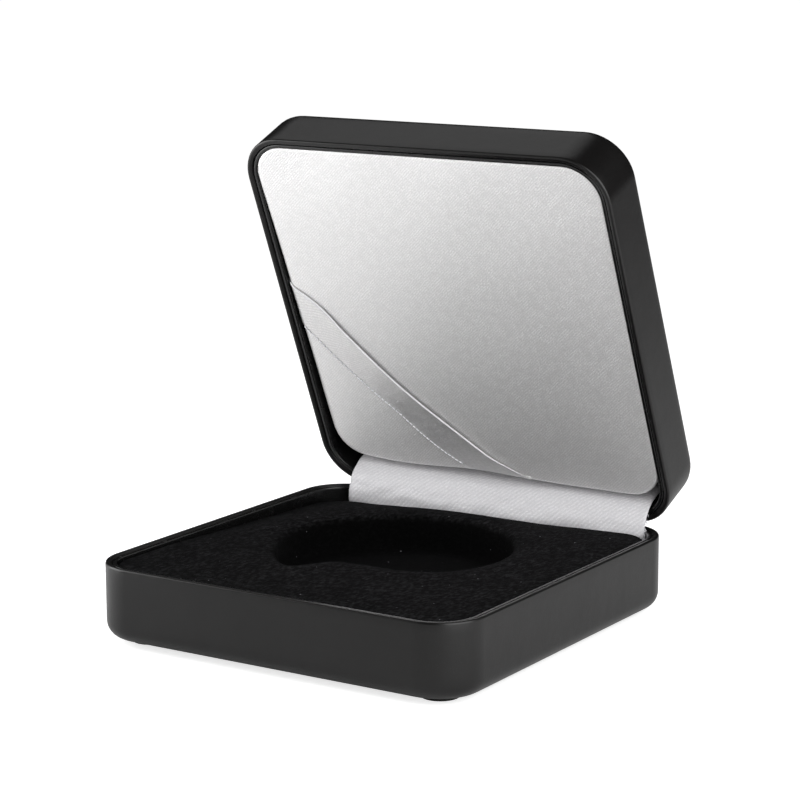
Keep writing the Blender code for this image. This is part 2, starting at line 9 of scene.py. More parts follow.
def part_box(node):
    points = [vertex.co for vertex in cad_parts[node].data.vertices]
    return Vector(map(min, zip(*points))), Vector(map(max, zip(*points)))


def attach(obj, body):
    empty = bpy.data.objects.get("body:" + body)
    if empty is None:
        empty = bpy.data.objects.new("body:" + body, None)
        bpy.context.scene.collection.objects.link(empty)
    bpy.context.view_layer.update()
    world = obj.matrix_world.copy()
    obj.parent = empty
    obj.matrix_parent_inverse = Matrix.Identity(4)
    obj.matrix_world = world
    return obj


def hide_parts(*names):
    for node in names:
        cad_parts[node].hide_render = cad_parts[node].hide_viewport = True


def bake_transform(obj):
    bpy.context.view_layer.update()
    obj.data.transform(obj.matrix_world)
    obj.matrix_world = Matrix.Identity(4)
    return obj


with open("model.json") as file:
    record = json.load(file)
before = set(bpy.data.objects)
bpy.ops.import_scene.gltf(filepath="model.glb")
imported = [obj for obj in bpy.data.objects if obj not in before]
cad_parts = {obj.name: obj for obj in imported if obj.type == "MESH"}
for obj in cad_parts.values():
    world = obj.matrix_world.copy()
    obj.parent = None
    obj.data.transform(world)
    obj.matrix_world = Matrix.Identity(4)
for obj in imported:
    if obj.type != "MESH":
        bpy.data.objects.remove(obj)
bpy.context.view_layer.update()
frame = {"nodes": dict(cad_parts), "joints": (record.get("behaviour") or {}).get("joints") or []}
mm = 0.001
print("frame loaded:", len(frame["nodes"]), "nodes")

# Sizes of the case in mm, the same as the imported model's
case = {"width": 90, "depth": 90, "baseHeight": 16, "lidHeight": 13.7, "cornerRadius": 10.3,
        "edgeRadius": 3.5, "flange": 1.3, "footHeight": 1.2, "rimGap": 0.3, "corners": 14}
hinge = Vector(frame["joints"][0]["pos_m"])
openAngle = math.radians(frame["joints"][0]["range_deg"][0])
baseTop = (case["footHeight"] + case["baseHeight"]) * mm
baseY = hinge.y - case["depth"] / 2 * mm
# the base is drawn round its own middle with its rim at z 0; the lid is drawn shut, from the hinge
basePlace = Matrix.Translation((0, baseY, baseTop))
lidPlace = Matrix.Translation(hinge) @ Matrix.Rotation(openAngle, 4, "X")
lidMiddle = Matrix.Translation((0, -case["depth"] / 2 * mm, case["rimGap"] / 2 * mm))


def linear(hexColour):
    parts = [int(hexColour[i:i + 2], 16) / 255 for i in (1, 3, 5)]
    return [c / 12.92 if c <= 0.04045 else ((c + 0.055) / 1.055) ** 2.4 for c in parts] + [1]


def addNode(tree, kind, values=None, links=None, **settings):
    made = tree.nodes.new(kind)
    for name, value in settings.items():
        setattr(made, name, value)
    for name, value in (values or {}).items():
        made.inputs[name].default_value = value
    for name, source in (links or {}).items():
        tree.links.new(source, made.inputs[name])
    return made


def newMaterial(name):
    mat = bpy.data.materials.new(name)
    mat.use_nodes = True
    return mat, mat.node_tree, mat.node_tree.nodes["Principled BSDF"]


def setShader(shader, **values):
    for name, value in values.items():
        socket = name.replace("_", " ")
        shader.inputs[socket].default_value = value


# PVC leatherette, embossed with a fine grain and satin lacquered: soft broad reflections
leatherFinish = {"dark": "#0b0a0a", "light": "#131212", "roughness": 0.29, "grain": 0.7, "fineGrain": 0.22,
                 "waves": 9, "bump": 0.16, "grainDepth": 0.06, "waveBump": 0.35, "waveDepth": 0.25}


def embossedLeatherette(name, offset):
    f = leatherFinish
    mat, tree, shader = newMaterial(name)
    place = addNode(tree, "ShaderNodeTexCoord")
    turned = addNode(tree, "ShaderNodeMapping", {"Location": offset}, {"Vector": place.outputs["Object"]})
    at = turned.outputs["Vector"]
    cells = addNode(tree, "ShaderNodeTexVoronoi", {"Scale": 1 / (f["grain"] * mm), "Smoothness": 0.6},
                    {"Vector": at}, feature="SMOOTH_F1")  # pebbles about 0.7 mm across
    fine = addNode(tree, "ShaderNodeTexNoise", {"Scale": 1 / (f["fineGrain"] * mm), "Detail": 3},
                   {"Vector": at})
    waves = addNode(tree, "ShaderNodeTexNoise", {"Scale": 1 / (f["waves"] * mm), "Detail": 2},
                    {"Vector": at})  # the tray and the glue under it aren't quite even
    heights = addNode(tree, "ShaderNodeMath", {}, {0: cells.outputs["Distance"], 1: fine.outputs["Fac"],
                                                   2: fine.outputs["Fac"]}, operation="MULTIPLY_ADD")
    grainBump = addNode(tree, "ShaderNodeBump", {"Strength": f["bump"], "Distance": f["grainDepth"] * mm},
                        {"Height": heights.outputs[0]})
    waveBump = addNode(tree, "ShaderNodeBump", {"Strength": f["waveBump"], "Distance": f["waveDepth"] * mm},
                       {"Height": waves.outputs["Fac"], "Normal": grainBump.outputs["Normal"]})
    tone = addNode(tree, "ShaderNodeMix", {6: linear(f["dark"]), 7: linear(f["light"])},
                   {0: waves.outputs["Fac"]}, data_type="RGBA")
    sheen = addNode(tree, "ShaderNodeMapRange", {3: f["roughness"] - 0.05, 4: f["roughness"] + 0.07},
                    {0: fine.outputs["Fac"]})
    tree.links.new(tone.outputs[2], shader.inputs["Base Color"])
    tree.links.new(sheen.outputs[0], shader.inputs["Roughness"])
    tree.links.new(waveBump.outputs["Normal"], shader.inputs["Normal"])
    setShader(shader, IOR=1.5, Specular_IOR_Level=0.4)
    return mat


# Glazed black lining paper: smooth and shiny, with a faint ripple from the glue under it
liningFinish = {"colour": "#0b0b0b", "roughness": 0.24, "ripple": 3.5, "rippleDepth": 0.15}


def glazedLining(name):
    f = liningFinish
    mat, tree, shader = newMaterial(name)
    place = addNode(tree, "ShaderNodeTexCoord")
    ripple = addNode(tree, "ShaderNodeTexNoise", {"Scale": 1 / (f["ripple"] * mm), "Detail": 3},
                     {"Vector": place.outputs["Object"]})
    bump = addNode(tree, "ShaderNodeBump", {"Strength": 0.3, "Distance": f["rippleDepth"] * mm},
                   {"Height": ripple.outputs["Fac"]})
    rough = addNode(tree, "ShaderNodeMapRange", {3: f["roughness"] - 0.06, 4: f["roughness"] + 0.1},
                    {0: ripple.outputs["Fac"]})
    tree.links.new(rough.outputs[0], shader.inputs["Roughness"])
    tree.links.new(bump.outputs["Normal"], shader.inputs["Normal"])
    setShader(shader, Base_Color=linear(f["colour"]), IOR=1.5)
    return mat


# Flocked velvet: a short upright pile, dead black face on and greyer along the edges, with lint in it
# painted sheen: the brushed tone is drawn on the top faces only; the last two heights under the rim bound it
velvetFinish = {"deep": "#050505", "brushed": "#252526", "lint": "#9a999e", "pile": 0.3, "tuft": 0.7,
                "nap": 5, "lintSpacing": 2.2, "pileDepth": 0.12, "tuftDepth": 0.06, "paintedSheenFrom": 2.1,
                "paintedSheenTo": 1.1}


def flockedVelvet(name):
    f = velvetFinish
    mat, tree, shader = newMaterial(name)
    place = addNode(tree, "ShaderNodeTexCoord")
    at = place.outputs["Object"]
    pile = addNode(tree, "ShaderNodeTexNoise", {"Scale": 1 / (f["pile"] * mm), "Detail": 4, "Roughness": 0.7},
                   {"Vector": at})  # drawn coarser than the real fibres of 0.05 mm, to show
    nap = addNode(tree, "ShaderNodeTexNoise", {"Scale": 1 / (f["nap"] * mm), "Detail": 6, "Roughness": 0.72},
                  {"Vector": at})  # brushed patches
    combed = addNode(tree, "ShaderNodeMapping", {"Scale": (1, 0.5, 1)}, {"Vector": at})
    tufts = addNode(tree, "ShaderNodeTexNoise", {"Scale": 1 / (f["tuft"] * mm), "Detail": 4,
                                                 "Roughness": 0.65}, {"Vector": combed.outputs["Vector"]})
    brushed = addNode(tree, "ShaderNodeMapRange", {1: 0.3, 2: 0.7, 3: 0.25}, {0: nap.outputs["Fac"]})
    tipped = addNode(tree, "ShaderNodeMapRange", {1: 0.44, 2: 0.66}, {0: tufts.outputs["Fac"]})
    napTips = addNode(tree, "ShaderNodeMath", {}, {0: brushed.outputs[0], 1: tipped.outputs[0]},
                   operation="MULTIPLY")
    height = addNode(tree, "ShaderNodeSeparateXYZ", {}, {0: at})
    low, high = baseTop - f["paintedSheenFrom"] * mm, baseTop - f["paintedSheenTo"] * mm
    paintedSheenMask = addNode(tree, "ShaderNodeMapRange", {1: low, 2: high, 3: 0.1},
                      {0: height.outputs["Z"]})  # painted sheen: lighter pile patches on the top faces only, the well kept near black
    patchesAndPaintedSheen = addNode(tree, "ShaderNodeMath", {}, {0: napTips.outputs[0], 1: paintedSheenMask.outputs[0]},
                    operation="MULTIPLY")
    lint = addNode(tree, "ShaderNodeTexVoronoi", {"Scale": 1 / (f["lintSpacing"] * mm)}, {"Vector": at})
    fleck = addNode(tree, "ShaderNodeMapRange", {1: 0.03, 2: 0.07, 3: 1.0, 4: 0.0},
                    {0: lint.outputs["Distance"]})
    cellTone = addNode(tree, "ShaderNodeSeparateColor", {}, {0: lint.outputs["Color"]})
    chosen = addNode(tree, "ShaderNodeMapRange", {1: 0.55, 2: 1.0}, {0: cellTone.outputs[0]})
    flecks = addNode(tree, "ShaderNodeMath", {}, {0: fleck.outputs[0], 1: chosen.outputs[0]},
                     operation="MULTIPLY")
    tone = addNode(tree, "ShaderNodeMix", {6: linear(f["deep"]), 7: linear(f["brushed"])},
                   {0: patchesAndPaintedSheen.outputs[0]}, data_type="RGBA")
    withLint = addNode(tree, "ShaderNodeMix", {7: linear(f["lint"])},
                       {0: flecks.outputs[0], 6: tone.outputs[2]}, data_type="RGBA")
    pileBump = addNode(tree, "ShaderNodeBump", {"Strength": 0.8, "Distance": f["pileDepth"] * mm},
                       {"Height": pile.outputs["Fac"]})
    bump = addNode(tree, "ShaderNodeBump", {"Strength": 0.6, "Distance": f["tuftDepth"] * mm},
                   {"Height": tufts.outputs["Fac"], "Normal": pileBump.outputs["Normal"]})
    tree.links.new(withLint.outputs[2], shader.inputs["Base Color"])
    tree.links.new(bump.outputs["Normal"], shader.inputs["Normal"])
    setShader(shader, Roughness=0.95, IOR=1.4, Specular_IOR_Level=0.03, Sheen_Weight=0.012,
              Sheen_Roughness=0.5, Sheen_Tint=linear("#b4b4bc"))
    return mat


# Silver satin, woven in a steep twill: long floats shine along one way, fine diagonal ribs
satinFinish = {"light": "#f6f5f5", "shade": "#e0dfdf", "thread": 0.22, "slub": 2.2, "bump": 0.48,
               "depth": 0.1}


def satinWeave(name, ribTurn, rib, light, shade, roughness, shine):
    f = satinFinish
    mat, tree, shader = newMaterial(name)
    place = addNode(tree, "ShaderNodeUVMap", uv_map="weave")
    turned = addNode(tree, "ShaderNodeMapping", {"Rotation": (0, 0, math.radians(ribTurn))},
                     {"Vector": place.outputs["UV"]})
    at = turned.outputs["Vector"]
    wander = addNode(tree, "ShaderNodeTexNoise", {"Scale": 1 / (f["slub"] * mm), "Detail": 3}, {"Vector": at})
    ribs = addNode(tree, "ShaderNodeTexWave", {"Scale": math.pi / 10 / (rib * mm), "Distortion": 2.6,
                                               "Detail": 2, "Detail Scale": 1.4},
                   {"Vector": at}, bands_direction="X")
    longFloats = addNode(tree, "ShaderNodeMapping", {"Scale": (1, 0.4, 1)}, {"Vector": at})
    floats = addNode(tree, "ShaderNodeTexNoise", {"Scale": 1 / (f["thread"] * mm), "Detail": 2},
                     {"Vector": longFloats.outputs["Vector"]})
    patchy = addNode(tree, "ShaderNodeMapRange", {1: 0.35, 2: 0.6, 3: 0.5, 4: 1.0},
                     {0: wander.outputs["Fac"]})
    broken = addNode(tree, "ShaderNodeMapRange", {1: 0.38, 2: 0.6, 3: 0.25, 4: 1.0},
                     {0: floats.outputs["Fac"]})
    ribShare = addNode(tree, "ShaderNodeMath", {}, {0: broken.outputs[0], 1: patchy.outputs[0]},
                       operation="MULTIPLY")
    ribHeight = addNode(tree, "ShaderNodeMath", {}, {0: ribs.outputs["Fac"], 1: ribShare.outputs[0]},
                        operation="MULTIPLY")
    height = addNode(tree, "ShaderNodeMath", {}, {0: ribHeight.outputs[0], 1: floats.outputs["Fac"]},
                     operation="ADD")
    bump = addNode(tree, "ShaderNodeBump", {"Strength": f["bump"], "Distance": f["depth"] * mm},
                   {"Height": height.outputs[0]})
    # painted shade and highlight: the weave is drawn darker in its lows and lighter on its raised ribs and
    # floats
    paintedWeaveShade = addNode(tree, "ShaderNodeMapRange", {1: 0.3, 2: 1.4}, {0: height.outputs[0]})
    tone = addNode(tree, "ShaderNodeMix", {6: linear(shade), 7: linear(light)}, {0: paintedWeaveShade.outputs[0]},
                   data_type="RGBA")
    tree.links.new(tone.outputs[2], shader.inputs["Base Color"])
    tree.links.new(bump.outputs["Normal"], shader.inputs["Normal"])
    setShader(shader, Roughness=roughness, Metallic=shine, IOR=1.5, Sheen_Weight=0.05, Sheen_Roughness=0.3,
              Sheen_Tint=linear("#f4f4f8"))
    return mat


# Moulded rubber, grey board, thread and the hinge's metals: an even colour with a fine speckle
def plainFinish(name, colour, roughness, metallic=0.0, grain=0.3, stretch=(1, 1, 1), bumpHeight=0.02):
    mat, tree, shader = newMaterial(name)
    place = addNode(tree, "ShaderNodeTexCoord")
    turned = addNode(tree, "ShaderNodeMapping", {"Scale": stretch}, {"Vector": place.outputs["Object"]})
    speckle = addNode(tree, "ShaderNodeTexNoise", {"Scale": 1 / (grain * mm), "Detail": 4},
                      {"Vector": turned.outputs["Vector"]})
    bump = addNode(tree, "ShaderNodeBump", {"Strength": 0.4, "Distance": bumpHeight * mm},
                   {"Height": speckle.outputs["Fac"]})
    rough = addNode(tree, "ShaderNodeMapRange", {3: roughness - 0.08, 4: roughness + 0.1},
                    {0: speckle.outputs["Fac"]})
    darker = [c * 0.75 for c in linear(colour)[:3]] + [1]
    tone = addNode(tree, "ShaderNodeMix", {6: darker, 7: linear(colour)}, {0: speckle.outputs["Fac"]},
                   data_type="RGBA")
    tree.links.new(tone.outputs[2], shader.inputs["Base Color"])
    tree.links.new(rough.outputs[0], shader.inputs["Roughness"])
    tree.links.new(bump.outputs["Normal"], shader.inputs["Normal"])
    setShader(shader, Metallic=metallic)
    return mat


baseLeatherette = embossedLeatherette("leatheretteEmbossedBase", (0, 0, 0))
lidLeatherette = embossedLeatherette("leatheretteEmbossedLid", (0.031, 0.017, 0.023))
lining = glazedLining("liningPaperGlazed")
velvet = flockedVelvet("velvetFlocked")
padSatin = satinWeave("satinTwillPad", -48, 0.5, satinFinish["light"], satinFinish["shade"], 0.42, 0.6)
# painted shade: the hinge strip's satin is drawn darker than the pad's, standing for shade on it
shadedStripSatin = satinWeave("satinTwillStripShaded", 47, 0.85, "#dcdbdd", "#c4c3c6", 0.55, 0.1)
sashSatin = satinWeave("satinTwillSash", 64, 0.5, satinFinish["light"], satinFinish["shade"], 0.3, 0.75)
selvedge = plainFinish("satinSelvedgeRolled", "#e9e9ec", 0.6, grain=0.35, stretch=(1, 1, 0.6),
                       bumpHeight=0.04)
thread = plainFinish("polyesterThread", "#e6e6ea", 0.5, grain=0.1)
rubber = plainFinish("rubberMoulded", "#121212", 0.6, grain=0.25)
greyBoard = plainFinish("greyBoardPressed", "#8f877a", 0.85, grain=0.4, bumpHeight=0.05)
trayEnamel = plainFinish("traySteelEnamelled", "#3a3b3c", 0.45, grain=0.5)
zincPlate = plainFinish("zincPlatedSteelBrushed", "#b9babc", 0.32, 1.0, 0.12, (0.08, 1, 1), 0.01)
springSteel = plainFinish("springSteelBlued", "#5d626c", 0.3, 1.0, 0.15, (1, 1, 0.1), 0.01)
brass = plainFinish("brassTurned", "#c99a4c", 0.3, 1.0, 0.2, (1, 1, 1), 0.01)
print("materials made")


def finish(bm, name, mat, body, place=None, replaced=(), sharpAngle=40, merge=True):
    if merge:
        bmesh.ops.remove_doubles(bm, verts=bm.verts, dist=0.002 * mm)
    bmesh.ops.recalc_face_normals(bm, faces=bm.faces)
    if place:
        bmesh.ops.transform(bm, matrix=place, verts=bm.verts)
    mesh = bpy.data.meshes.new(name)
    bm.to_mesh(mesh)
    bm.free()
    mesh.shade_smooth()
    mesh.set_sharp_from_angle(angle=math.radians(sharpAngle))
    mesh.materials.append(mat)
    piece = bpy.data.objects.new(name, mesh)
    bpy.context.scene.collection.objects.link(piece)
    if body:
        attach(piece, body)
    if replaced:
        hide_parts(*replaced)
    return piece


def arcSteps(radius, segments, inFirst):
    # a quarter round as steps of (inset, rise); inFirst starts level, otherwise upright
    angles = [math.pi / 2 * k / segments for k in range(segments + 1)]
    bends = [(radius * (1 - math.cos(a)), radius * math.sin(a)) for a in angles]
    steps = [(b[0] - a[0], b[1] - a[1]) for a, b in zip(bends, bends[1:])]
    return [(rise, inset) for inset, rise in steps] if inFirst else steps


def terrace(bm, inset, z, steps, capped):
    # a rounded rectangle of the case's plan, stepped in and up or down from z; steps in mm
    made = bmesh.ops.create_grid(bm, x_segments=1, y_segments=1, size=0.5)
    width, depth = case["width"] - 2 * inset, case["depth"] - 2 * inset
    bmesh.ops.scale(bm, vec=(width * mm, depth * mm, 1), verts=made["verts"])
    bmesh.ops.translate(bm, vec=(0, 0, z * mm), verts=made["verts"])
    cap = made["verts"][0].link_faces[0]
    bmesh.ops.bevel(bm, geom=made["verts"], offset=(case["cornerRadius"] - inset) * mm, offset_type="OFFSET",
                    segments=case["corners"], profile=0.5, affect="VERTICES", material=-1)
    cap = [f for f in bm.faces if len(f.verts) > 4 and abs(f.calc_center_median().z - z * mm) < 1e-7
           and not any(e.is_manifold for e in f.edges)][-1]
    if cap.normal.z < 0:
        cap.normal_flip()
    for stepIn, rise in steps:
        bmesh.ops.inset_region(bm, faces=[cap], thickness=max(stepIn, 0.0001) * mm, depth=rise * mm,
                               use_even_offset=True, use_boundary=True)
    if not capped:
        bmesh.ops.delete(bm, geom=[cap], context="FACES_ONLY")


def cutRear(bm, halfWidth, bottom, top, yFrom):
    # removes what lies between -halfWidth and halfWidth, bottom and top, behind yFrom
    for point, normal in (((halfWidth, 0, 0), (1, 0, 0)), ((-halfWidth, 0, 0), (1, 0, 0)),
                          ((0, 0, bottom), (0, 0, 1)), ((0, 0, top), (0, 0, 1))):
        near = [f for f in bm.faces if f.calc_center_median().y > yFrom]
        near += list({e for f in near for e in f.edges}) + list({v for f in near for v in f.verts})
        bmesh.ops.bisect_plane(bm, geom=near, dist=1e-7, plane_co=point, plane_no=normal)
    gone = [f for f in bm.faces if f.calc_center_median().y > yFrom
            and abs(f.calc_center_median().x) < halfWidth and bottom < f.calc_center_median().z < top]
    bmesh.ops.delete(bm, geom=gone, context="FACES")


def openEdges(bm):
    return [e for e in bm.edges if e.is_boundary]


def addModifier(piece, kind, **settings):
    made = piece.modifiers.new(kind.lower(), kind)
    for name, value in settings.items():
        setattr(made, name, value)


# The covers: leatherette glued over the trays and turned in over their rims, cut out behind for the hinge
cover = {"rimRadius": 0.45, "hemRadius": 0.2, "hemDrop": 0.25, "rimFalls": (0.08, 0.16), "thickness": 0.4,
         "notchHalf": 31.7, "notchDepth": 1.6}


def coverPiece(name, height, side, mat, body, place, replaced):
    # side -1 hangs down from the rim, side 1 stands up from it
    rim, edge, turned = cover["rimRadius"], case["edgeRadius"], cover["hemRadius"]
    bm = bmesh.new()
    wall = [(0, side * (height - edge - rim) / 6)] * 6
    fillet = [(a, side * b) for a, b in arcSteps(edge, 8, False)]
    terrace(bm, 0, side * rim, wall + fillet, True)
    turnIn = [(a, -side * b) for a, b in arcSteps(rim, 5, False)]
    level = [((case["flange"] - rim - turned) / 2, side * fall) for fall in cover["rimFalls"]]
    hem = [(a, side * b) for a, b in arcSteps(turned, 3, True)]
    terrace(bm, 0, side * rim, turnIn + level + hem + [(0, side * cover["hemDrop"])], False)
    bmesh.ops.remove_doubles(bm, verts=bm.verts, dist=0.002 * mm)
    bmesh.ops.recalc_face_normals(bm, faces=bm.faces)
    depth = (cover["notchDepth"] - case["rimGap"] / 2) * mm
    low, high = (-depth, mm) if side < 0 else (-mm, depth)
    cutRear(bm, cover["notchHalf"] * mm, low, high, (case["depth"] / 2 - 2) * mm)
    piece = finish(bm, name, mat, body, place, replaced)
    addModifier(piece, "SOLIDIFY", thickness=cover["thickness"] * mm, offset=-1)


# The linings: a glazed band glued inside each wall, its rounded lip just under the rim
band = {"drop": 0.34, "lip": 0.28, "bead": 0.35, "gap": 0.2, "gapHalf": 32.3}


def liningPiece(name, height, side, body, place, replaced):
    drop, lip, bead = band["drop"], band["lip"], band["bead"]
    low = height - case["edgeRadius"]
    inset = case["flange"] + band["gap"]
    bm = bmesh.new()
    terrace(bm, inset, side * (drop + lip), [(0, side * (low - drop - lip))], False)
    over = [(a, -side * b) for a, b in arcSteps(lip, 4, False)] + [(bead, 0)]
    over += [(a, side * b) for a, b in arcSteps(lip, 4, True)] + [(0, side * 0.3), (-bead, side * 0.4)]
    terrace(bm, inset, side * (drop + lip), over + [(0, side * (low - drop - lip - 0.7))], False)
    bmesh.ops.remove_doubles(bm, verts=bm.verts, dist=0.002 * mm)
    bmesh.ops.bridge_loops(bm, edges=openEdges(bm))
    low, high = sorted((-side * mm, side * (height + 1) * mm))
    cutRear(bm, band["gapHalf"] * mm, low, high, (case["depth"] / 2 - 3) * mm)
    bmesh.ops.holes_fill(bm, edges=openEdges(bm))
    finish(bm, name, lining, body, place, replaced)


coverPiece("baseLeatherette", case["baseHeight"], -1, baseLeatherette, "base", basePlace, ["base_cover"])
coverPiece("lidLeatherette", case["lidHeight"], 1, lidLeatherette, "lid", lidPlace @ lidMiddle, ["lid_cover"])
liningPiece("baseLiningBand", case["baseHeight"], -1, "base", basePlace, ["base_lining"])
liningPiece("lidLiningBand", case["lidHeight"], 1, "lid", lidPlace @ lidMiddle, ["lid_lining"])
print("covers and linings made")


def insideOutline(x, y, width, depth, radius):
    # how far a point lies inside a rounded rectangle round the origin
    qx, qy = abs(x) - width / 2 + radius, abs(y) - depth / 2 + radius
    return radius - math.hypot(max(qx, 0), max(qy, 0)) - min(max(qx, qy), 0)


def outlineReach(angle, centre, width, depth, radius, inset):
    # where a ray from centre leaves the outline, less an inset
    near, far = 0, width + depth
    for _ in range(40):
        middle = (near + far) / 2
        x, y = centre[0] + middle * math.cos(angle), centre[1] + middle * math.sin(angle)
        if insideOutline(x, y, width, depth, radius) > inset:
            near = middle
        else:
            far = middle
    return near


def addRings(bm, rings):
    # a skin over closed rings of points in mm: a grid is wrapped round them, and its two ends are closed
    around, along = len(rings[0]), len(rings) - 1
    grid = bmesh.ops.create_grid(bm, x_segments=around, y_segments=along, size=0.5)["verts"]
    for vert in grid:
        ring = rings[round((vert.co.y + 0.5) * along)]
        vert.co = Vector(ring[round((vert.co.x + 0.5) * around) % around]) * mm
    bmesh.ops.remove_doubles(bm, verts=grid, dist=0.0001 * mm)
    bmesh.ops.holes_fill(bm, edges=openEdges(bm), sides=0)


# The coin pad: foam covered in flocked velvet, with a round well, a notch for the thumb and a soft lip
coinPad = {"width": 85.5, "depth": 83.4, "centreY": -0.95, "radius": 8, "bottom": -9.7, "edgeFront": -0.95,
           "rearLeft": -3.3, "rearRight": -0.9, "edgeRadius": 1.1, "brow": -0.85, "browReach": 26.8,
           "browGrow": 5, "lip": -1.05, "lipRadius": 1.5, "frontLip": 2.4, "floor": -8.9, "wellX": -1.5,
           "wellY": 6.5, "sag": 0.14, "dimple": 0.05, "points": 216}
# how far the well's wall stands from its middle, by degrees anticlockwise from the right: round at the
# right and rear, wider to the thumb notch at the front left, and narrower where the front lip leans in
wellWall = [(0, 24.9), (14, 24.8), (40, 24.5), (65, 24.2), (97, 24.3), (122, 24.3), (145, 24.8), (160, 25.3),
            (180, 25.8), (200, 25.6), (215, 25.8), (228, 26.7), (238, 27.4), (246, 27.7), (251, 27.4),
            (254.5, 25.2), (257, 20.6), (260, 18), (265, 17), (272, 16.7), (280, 16.4), (288, 17),
            (296, 18.3), (304, 19.8), (312, 21.3), (320, 22.6), (330, 23.9), (345, 24.8), (360, 24.9)]


def wellReach(angle, grow):
    turn = math.degrees(angle) % 360
    for (a, ra), (b, rb) in zip(wellWall, wellWall[1:]):
        if a <= turn <= b:
            share = (turn - a) / (b - a)
            return ra + (rb - ra) * share * share * (3 - 2 * share) + grow


def velvetCoinPad():
    c = coinPad
    count = c["points"]
    centre = (c["wellX"], c["wellY"] - c["centreY"])
    angles = [2 * math.pi * (k + 0.5) / count for k in range(count)]

    def outer(inset, drop):
        ring = []
        for a in angles:
            reach = outlineReach(a, centre, c["width"], c["depth"], c["radius"], inset)
            x, y = centre[0] + reach * math.cos(a), centre[1] + reach * math.sin(a)
            share = min(max((y + 20) / 60, 0), 1)
            rear = c["rearLeft"] + (c["rearRight"] - c["rearLeft"]) * (x / c["width"] + 0.5)
            ring.append((x, y, c["edgeFront"] + (rear - c["edgeFront"]) * share - drop))
        return ring

    def well(grow, z, least=0):
        reaches = [max(wellReach(a, grow), least) for a in angles]
        return [(centre[0] + r * math.cos(a), centre[1] + r * math.sin(a), z)
                for r, a in zip(reaches, angles)]

    def lip(turn):
        # the rounding into the well, turn from 0 at the top to 1 at the wall; it is broader in front
        ring = []
        for a in angles:
            broad = c["lipRadius"] + c["frontLip"] * math.exp(-((math.degrees(a) - 285) / 38) ** 2)
            r = wellReach(a, broad * (1 - math.sin(turn * math.pi / 2)))
            z = c["lip"] - c["lipRadius"] * (1 - math.cos(turn * math.pi / 2))
            ring.append((centre[0] + r * math.cos(a), centre[1] + r * math.sin(a), z))
        return ring

    def blendRings(one, other, share, rise):
        return [(p[0] + (q[0] - p[0]) * share, p[1] + (q[1] - p[1]) * share, p[2] + (q[2] - p[2]) * rise)
                for p, q in zip(one, other)]

    rings = [[(x, y, c["bottom"]) for x, y, z in outer(0, 0)], outer(0, 4)]
    for k in range(6):
        a = math.pi / 2 * k / 5
        rings.append(outer(c["edgeRadius"] * (1 - math.cos(a)), c["edgeRadius"] * (1 - math.sin(a))))
    edgeRing, browRing, lipRing = rings[-1], well(c["browGrow"], c["brow"], c["browReach"]), lip(0)
    rings += [blendRings(edgeRing, browRing, k / 14, 1 - (1 - k / 14) ** 2) for k in range(1, 14)]
    rings += [blendRings(browRing, lipRing, k / 7, (k / 7) ** 2) for k in range(8)]
    rings += [lip(k / 6) for k in range(1, 7)]
    rings += [well(0, -5), well(-0.1, -7.4), well(-0.5, -8.4), well(-1.4, c["floor"])]
    for share in (0.85, 0.6, 0.35, 0.12):
        rings.append([(centre[0] + (x - centre[0]) * share, centre[1] + (y - centre[1]) * share, z)
                      for x, y, z in rings[-1]])
    bm = bmesh.new()
    addRings(bm, rings)
    for vert in bm.verts:  # foam and flock are never quite even
        if vert.co.z > c["bottom"] * mm + 1e-5:
            soft = noise.noise(vert.co / (11 * mm)) * c["sag"] + noise.noise(vert.co / (3 * mm)) * c["dimple"]
            vert.co.z += soft * mm
    place = basePlace @ Matrix.Translation((0, c["centreY"] * mm, 0))
    piece = finish(bm, "coinPadVelvet", velvet, "base", place, ["insert_velvet", "insert_foam", "well_floor"],
                   80)


velvetCoinPad()
print("coin pad made")

# The lid's pad: satin pulled over foam and glued behind its board. It fills the lid to its lip, and rounds
# off deeper at the left, most of all towards the hinge
satinPad = {"width": 85.5, "depth": 81.4, "centreY": -47.2, "radius": 8, "edge": 0.75, "edgeRadius": 0.9,
            "leftTop": 0.35, "leftBottom": 4.6, "leftRaise": 0.45, "crown": 0.5, "back": 9, "sag": 0.12,
            "pull": 1, "pullAt": -3, "pullWidth": 13, "points": 208}


def padFace(x, y, lift=0.0):
    # depth of the satin's face in mm under a point, x and y in mm from the pad's middle
    p = satinPad
    inset = insideOutline(x, y, p["width"] + 2 * lift, p["depth"] + 2 * lift, p["radius"] + lift)
    leftShare = min(max(-x / p["width"] * 2 - 0.55, 0) / 0.45, 1) ** 1.5
    down = min(max(y / p["depth"] + 0.5, 0), 1)
    left = p["leftTop"] + (p["leftBottom"] - p["leftTop"]) * down ** 0.75
    radius = p["edgeRadius"] + (left - p["edgeRadius"]) * leftShare + lift
    rounding = radius - math.sqrt(max(radius ** 2 - max(radius - max(inset, 0), 0) ** 2, 0))
    bulge = (1 - min(1, abs(x) / p["width"] * 2) ** 3) * (1 - min(1, abs(y) / p["depth"] * 2) ** 3)
    raised = p["leftRaise"] * leftShare * (1 - down)
    return p["edge"] - lift - raised + rounding - p["crown"] * bulge


def drawnIn(x, y):
    # how far the lower edge is pulled in where the sash's end is glued behind it
    p = satinPad
    pull = p["pull"] * math.exp(-((x - p["pullAt"]) / p["pullWidth"]) ** 2)
    return pull * min(max(1 - (p["depth"] / 2 - y) / 6, 0), 1)


def addWeave(bm, spot):
    # the weave's own coordinates, in metres over the cloth
    layer = bm.loops.layers.uv.new("weave")
    for face in bm.faces:
        for loop in face.loops:
            loop[layer].uv = spot(loop.vert.co)


